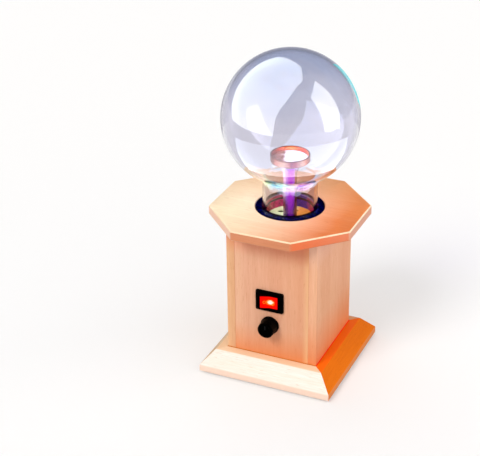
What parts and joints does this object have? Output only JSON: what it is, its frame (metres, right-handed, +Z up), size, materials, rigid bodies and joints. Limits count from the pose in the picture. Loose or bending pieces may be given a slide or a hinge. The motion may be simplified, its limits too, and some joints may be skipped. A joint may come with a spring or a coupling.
{
  "type": "glass globe aroma lamp",
  "caption": "Clear glass globe over a copper heating dish on a violet-lit glass stem, on a square maple cabinet with octagonal top, rocker switch and heat knob.",
  "frame": {"origin": "on the surface it stands on, under the middle of the globe, which is also the middle of the top board and of the plinth", "axes": "+Z up, -Y out of the front panel with the switch and knob, +X to the right as seen from the front"},
  "size_m": [0.1084, 0.1084, 0.2423],
  "materials": {
    "maple": "pale maple, clear lacquer",
    "fibreboard": "raw hardboard",
    "black_gloss": "polished black moulding",
    "black_plastic": "satin black moulding",
    "rubber": "black rubber",
    "silicone": "translucent silicone",
    "clear_glass": "clear blown borosilicate glass",
    "violet_acrylic": "light-piping violet acrylic, lit from below",
    "copper": "polished copper",
    "ceramic": "white heater ceramic",
    "steel": "plated steel",
    "brass": "machined brass",
    "aluminium": "bare aluminium",
    "red_lens": "translucent red, lit from inside",
    "neon": "neon bulb",
    "circuit": "solder-masked board",
    "violet_chip": "lit violet diode",
    "ferrite": "ferrite",
    "sleeve_blue": "shrink sleeve",
    "terminal_green": "moulded green",
    "wire_white": "glass-fibre and silicone insulation",
    "wire_red": "pvc insulation"
  },
  "bodies": {
    "cabinet": {"foot_front_left": "rubber", "foot_front_right": "rubber", "foot_rear_left": "rubber", "foot_rear_right": "rubber", "plinth": "maple", "front_panel": "maple", "rear_panel": "maple", "left_panel": "maple", "right_panel": "maple", "top_board": "maple", "corner_block_front_left": "maple", "corner_block_front_right": "maple", "corner_block_rear_left": "maple", "corner_block_rear_right": "maple", "bottom_cover": "fibreboard", "cover_screw_front_left": "steel", "cover_screw_front_right": "steel", "cover_screw_rear_left": "steel", "cover_screw_rear_right": "steel", "dish_holder": "steel", "dimmer_body": "steel", "dimmer_nut": "steel", "dc_jack_nut": "steel", "globe_collar": "black_gloss", "switch_housing": "black_gloss", "globe_seal": "silicone", "recess_floor": "aluminium", "heat_sink": "aluminium", "air_chamber": "black_plastic", "stem_socket": "black_plastic", "dc_jack": "black_plastic", "transistor": "black_plastic", "stem_tube": "clear_glass", "light_tube": "violet_acrylic", "led_board": "circuit", "circuit_board": "circuit", "violet_led": "violet_chip", "dish_ring": "copper", "dish_floor": "ceramic", "dimmer_track": "ceramic", "switch_terminal_left": "brass", "switch_terminal_middle": "brass", "switch_terminal_right": "brass", "hose_port": "brass", "hose_port_nut": "brass", "switch_lamp": "neon", "inductor": "ferrite", "capacitor": "sleeve_blue", "terminal_block": "terminal_green", "heater_lead_left": "wire_white", "heater_lead_right": "wire_white", "switch_wires": "wire_white", "led_wire": "wire_red", "dimmer_wires": "wire_red", "jack_wires": "wire_red"},
    "globe": {"glass_globe": "clear_glass"},
    "rocker": {"switch_rocker": "red_lens"},
    "contact": {"switch_contact": "copper"},
    "heat_knob": {"control_knob": "black_plastic", "dimmer_shaft": "aluminium"}
  },
  "joints": [
    {"name": "power_rocker", "type": "hinge", "parent": "cabinet", "child": "rocker", "pos_m": [-0.0009, -0.0352, 0.0643], "axis": [0, 0, 1], "range_deg": [-20, 0]},
    {"name": "contact_rock", "type": "hinge", "parent": "cabinet", "child": "contact", "pos_m": [-0.0009, -0.0267, 0.0643], "axis": [0, 0, 1], "range_deg": [0, 12]},
    {"name": "heat_knob_turn", "type": "hinge", "parent": "cabinet", "child": "heat_knob", "pos_m": [-0.0007, -0.035, 0.0446], "axis": [0, 1, 0], "range_deg": [-150, 150]},
    {"name": "globe_lift", "type": "slide", "parent": "cabinet", "child": "globe", "axis": [0, 0, 1], "range_m": [0, 0.06]}
  ],
  "couplings": [
    {"joint": "contact_rock", "follows": "power_rocker", "ratio": -0.6}
  ]
}
